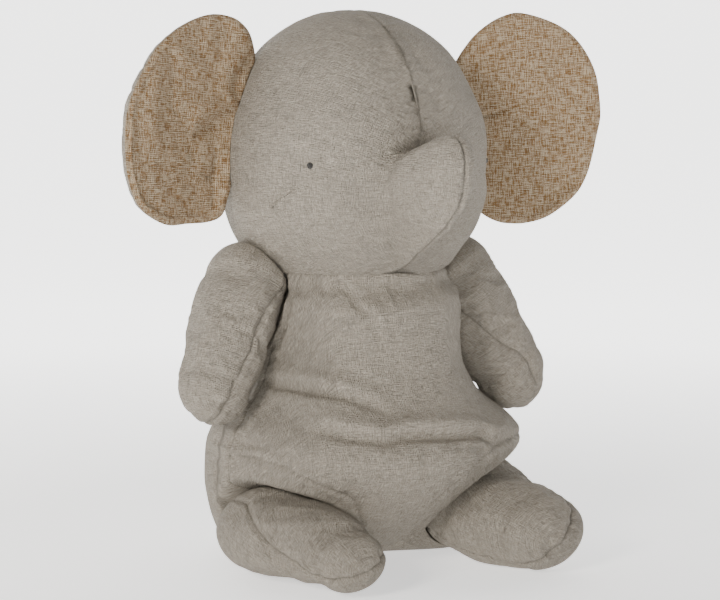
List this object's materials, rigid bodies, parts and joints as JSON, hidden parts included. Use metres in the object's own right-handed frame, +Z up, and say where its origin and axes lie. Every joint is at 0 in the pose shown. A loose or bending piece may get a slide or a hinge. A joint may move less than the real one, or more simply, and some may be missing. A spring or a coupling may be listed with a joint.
{
  "type": "plush toy, stuffed elephant",
  "caption": "Sitting stuffed elephant sewn from grey linen, with woven tan ear fronts, knotted thread eyes and a short raised trunk; head, ears, arms and legs bend at their seams.",
  "frame": {"origin": "on the flat seat patch at floor level, straight under the middle of the head", "axes": "+Z up, the elephant faces -Y, its own left side is +X"},
  "size_m": [0.3836, 0.2699, 0.3809],
  "materials": {
    "linen": "matte",
    "ear_weave": "matte",
    "stuffing": "matte",
    "thread": "satin"
  },
  "bodies": {
    "torso": {"torso_front_panel": "linen", "torso_back_left_panel": "linen", "torso_back_right_panel": "linen", "seat_panel": "linen", "torso_stuffing": "stuffing", "closing_stitches": "thread"},
    "neck": {"neck_stuffing": "stuffing"},
    "head": {"head_left_panel": "linen", "head_right_panel": "linen", "head_stuffing": "stuffing", "eye_left": "thread", "eye_right": "thread"},
    "trunk": {"trunk_left_panel": "linen", "trunk_right_panel": "linen", "trunk_stuffing": "stuffing"},
    "ear_left": {"ear_left_front": "ear_weave", "ear_left_back": "linen", "ear_left_wadding": "stuffing"},
    "ear_right": {"ear_right_front": "ear_weave", "ear_right_back": "linen", "ear_right_wadding": "stuffing"},
    "shoulder_left": {"shoulder_left_wad": "stuffing"},
    "arm_left": {"arm_left_outer_panel": "linen", "arm_left_inner_panel": "linen", "arm_left_stuffing": "stuffing"},
    "shoulder_right": {"shoulder_right_wad": "stuffing"},
    "arm_right": {"arm_right_outer_panel": "linen", "arm_right_inner_panel": "linen", "arm_right_stuffing": "stuffing"},
    "hip_left": {"hip_left_wad": "stuffing"},
    "leg_left": {"leg_left_top_panel": "linen", "leg_left_bottom_panel": "linen", "leg_left_stuffing": "stuffing"},
    "hip_right": {"hip_right_wad": "stuffing"},
    "leg_right": {"leg_right_top_panel": "linen", "leg_right_bottom_panel": "linen", "leg_right_stuffing": "stuffing"},
    "tail": {"tail": "linen"}
  },
  "joints": [
    {"name": "neck_nod", "type": "hinge", "parent": "torso", "child": "neck", "pos_m": [0, -0.004, 0.203], "axis": [1, 0, 0], "range_deg": [-12, 12]},
    {"name": "head_turn", "type": "hinge", "parent": "neck", "child": "head", "pos_m": [0, -0.004, 0.203], "axis": [0, 0, 1], "range_deg": [-45, 45]},
    {"name": "trunk_lift", "type": "hinge", "parent": "head", "child": "trunk", "pos_m": [0, -0.07997, 0.262], "axis": [1, 0, 0], "range_deg": [-2, 12], "stiffness_Nm_per_rad": 0.25},
    {"name": "ear_left_swing", "type": "hinge", "parent": "head", "child": "ear_left", "pos_m": [0.08998, 0.01, 0.30159], "axis": [-0.0698, 0, 0.9976], "range_deg": [-16, 16], "stiffness_Nm_per_rad": 0.06},
    {"name": "ear_right_swing", "type": "hinge", "parent": "head", "child": "ear_right", "pos_m": [-0.08998, 0.01, 0.30159], "axis": [0.0698, 0, 0.9976], "range_deg": [-16, 16], "stiffness_Nm_per_rad": 0.06},
    {"name": "arm_left_swing", "type": "hinge", "parent": "torso", "child": "shoulder_left", "pos_m": [0.088, -0.004, 0.188], "axis": [1, 0, 0], "range_deg": [-75, 45]},
    {"name": "arm_left_raise", "type": "hinge", "parent": "shoulder_left", "child": "arm_left", "pos_m": [0.088, -0.004, 0.188], "axis": [0, 1, 0], "range_deg": [-55, 0]},
    {"name": "arm_right_swing", "type": "hinge", "parent": "torso", "child": "shoulder_right", "pos_m": [-0.088, -0.004, 0.188], "axis": [1, 0, 0], "range_deg": [-75, 45]},
    {"name": "arm_right_raise", "type": "hinge", "parent": "shoulder_right", "child": "arm_right", "pos_m": [-0.088, -0.004, 0.188], "axis": [0, 1, 0], "range_deg": [0, 55]},
    {"name": "leg_left_swing", "type": "hinge", "parent": "torso", "child": "hip_left", "pos_m": [0.075, -0.048, 0.038], "axis": [1, 0, 0], "range_deg": [-6, 60]},
    {"name": "leg_left_splay", "type": "hinge", "parent": "hip_left", "child": "leg_left", "pos_m": [0.075, -0.048, 0.038], "axis": [0, 0, 1], "range_deg": [-8, 30]},
    {"name": "leg_right_swing", "type": "hinge", "parent": "torso", "child": "hip_right", "pos_m": [-0.075, -0.048, 0.038], "axis": [1, 0, 0], "range_deg": [-6, 60]},
    {"name": "leg_right_splay", "type": "hinge", "parent": "hip_right", "child": "leg_right", "pos_m": [-0.075, -0.048, 0.038], "axis": [0, 0, 1], "range_deg": [-30, 6]},
    {"name": "tail_lift", "type": "hinge", "parent": "torso", "child": "tail", "pos_m": [0, 0.09867, 0.06426], "axis": [1, 0, 0], "range_deg": [-6, 60], "stiffness_Nm_per_rad": 0.01}
  ]
}
